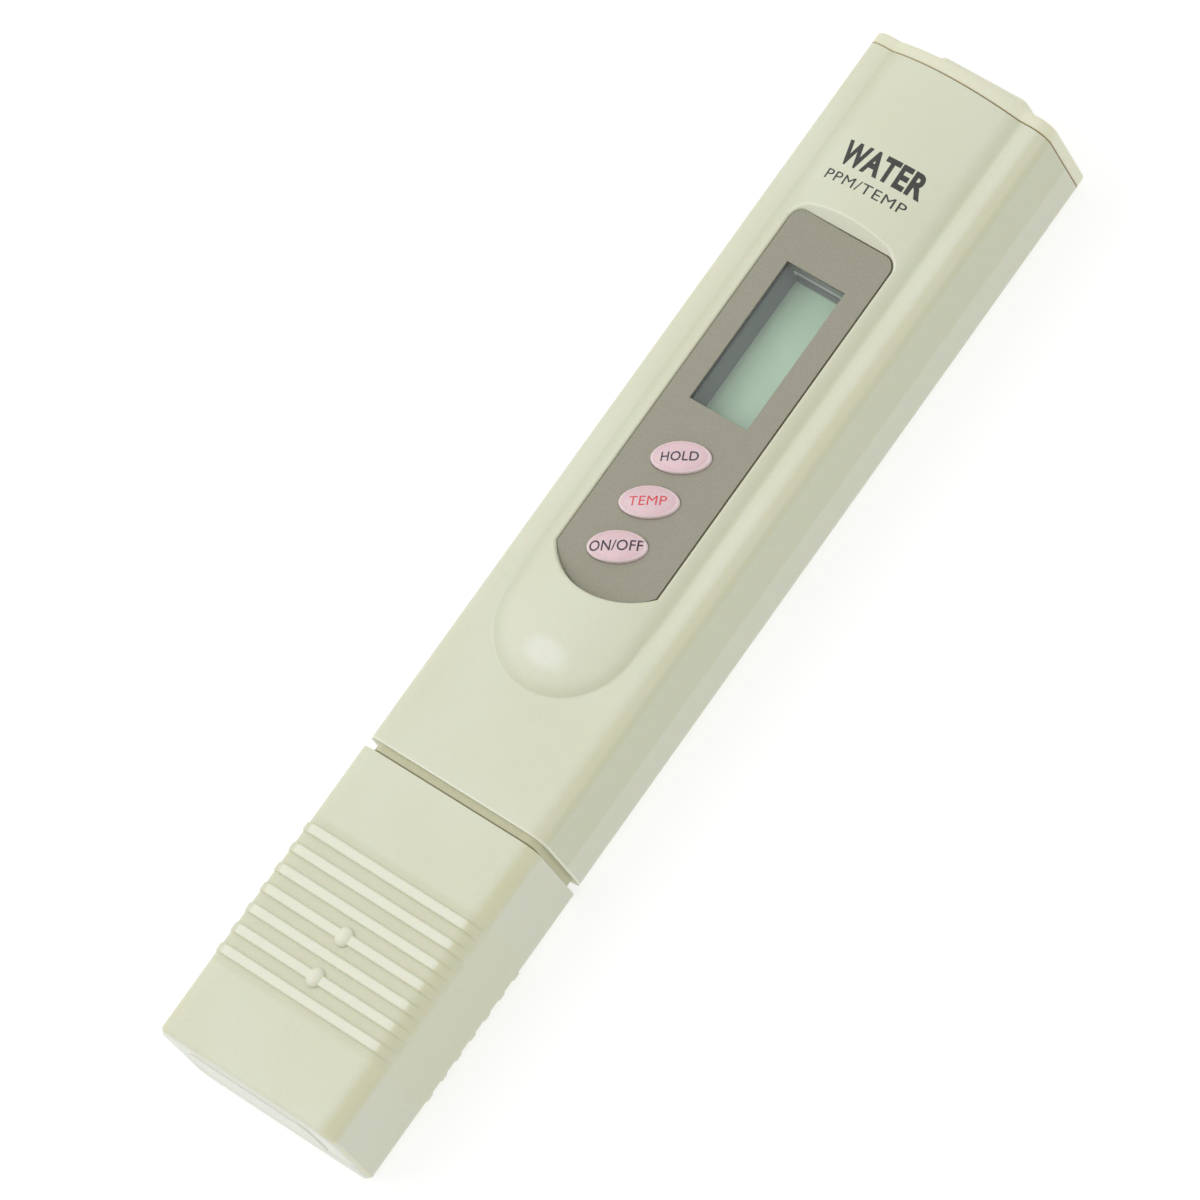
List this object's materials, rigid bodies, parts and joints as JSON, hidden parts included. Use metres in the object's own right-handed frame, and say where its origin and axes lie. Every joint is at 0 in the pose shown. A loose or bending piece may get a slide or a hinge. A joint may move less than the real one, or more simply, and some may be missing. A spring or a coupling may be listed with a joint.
{
  "type": "digital water tester",
  "caption": "Pen-shaped digital water tester with a push-on probe cap, a recessed display panel with three oval keys and a pull-out battery cap.",
  "frame": {"origin": "under the middle of the pen, on the surface it lies on with its display upwards", "axes": "+Z out of the display, +Y towards the battery cap, +X to the right of the display"},
  "size_m": [0.0286, 0.155, 0.0196],
  "materials": {
    "cream_shell": "fine satin, moulded",
    "overlay_film": "fine-grained matt film",
    "clear_window": "clear, polished",
    "dark_plastic": "satin",
    "display_green": "matt film",
    "clear_glass": "clear",
    "display_silver": "matt foil",
    "strip_rubber": "soft",
    "pink_key": "polished, domed",
    "spring_steel": "fine brushed",
    "green_board": "solder mask, satin",
    "epoxy_black": "cast resin",
    "cell_steel": "bright drawn",
    "trimmer_blue": "satin",
    "contact_brass": "plated",
    "chip_tan": "matt",
    "gasket_nylon": "satin",
    "probe_plastic": "fine matt",
    "pin_steel": "ground",
    "lead_rubber": "soft sleeve"
  },
  "bodies": {
    "case": {"front_case": "cream_shell", "rear_case": "cream_shell", "face_overlay": "overlay_film", "display_lens": "clear_window", "display_frame": "dark_plastic", "front_polariser": "display_green", "front_glass": "clear_glass", "rear_glass": "clear_glass", "display_reflector": "display_silver", "zebra_strips": "strip_rubber", "switch_bases": "dark_plastic", "switch_covers": "spring_steel", "power_dome": "spring_steel", "temp_dome": "spring_steel", "hold_dome": "spring_steel", "main_board": "green_board", "board_screws": "spring_steel", "controller_blob": "epoxy_black", "crystal_can": "cell_steel", "trimmer_body": "trimmer_blue", "chip_capacitors": "chip_tan", "chip_resistors": "epoxy_black", "positive_contact": "contact_brass", "negative_contact": "contact_brass", "probe_holder": "probe_plastic", "electrode_pins": "pin_steel", "thermistor_tube": "pin_steel", "probe_potting": "epoxy_black", "probe_leads": "lead_rubber"},
    "probe_cap": {"probe_cap": "cream_shell"},
    "battery_cap": {"battery_cap": "cream_shell", "cell_bridge": "cell_steel", "cell_cans": "cell_steel", "cell_lids": "cell_steel", "cell_gaskets": "gasket_nylon"},
    "power_key": {"power_key": "pink_key", "power_plunger": "dark_plastic"},
    "temp_key": {"temp_key": "pink_key", "temp_plunger": "dark_plastic"},
    "hold_key": {"hold_key": "pink_key", "hold_plunger": "dark_plastic"},
    "trimmer_rotor": {"trimmer_rotor": "contact_brass"}
  },
  "joints": [
    {"name": "probe_cap_pull", "type": "slide", "parent": "case", "child": "probe_cap", "axis": [0, -1, 0], "range_m": [0, 0.045]},
    {"name": "battery_cap_pull", "type": "slide", "parent": "case", "child": "battery_cap", "axis": [0, 1, 0], "range_m": [0, 0.025]},
    {"name": "trimmer_turn", "type": "hinge", "parent": "case", "child": "trimmer_rotor", "pos_m": [0.005, 0.0269, 0.007], "axis": [0, 0, -1], "range_deg": [-135, 135]},
    {"name": "power_press", "type": "slide", "parent": "case", "child": "power_key", "axis": [0, 0, -1], "range_m": [0, 0.0004], "stiffness_N_per_m": 500, "deforming": ["power_dome"]},
    {"name": "temp_press", "type": "slide", "parent": "case", "child": "temp_key", "axis": [0, 0, -1], "range_m": [0, 0.0004], "stiffness_N_per_m": 500, "deforming": ["temp_dome"]},
    {"name": "hold_press", "type": "slide", "parent": "case", "child": "hold_key", "axis": [0, 0, -1], "range_m": [0, 0.0004], "stiffness_N_per_m": 500, "deforming": ["hold_dome"]}
  ]
}
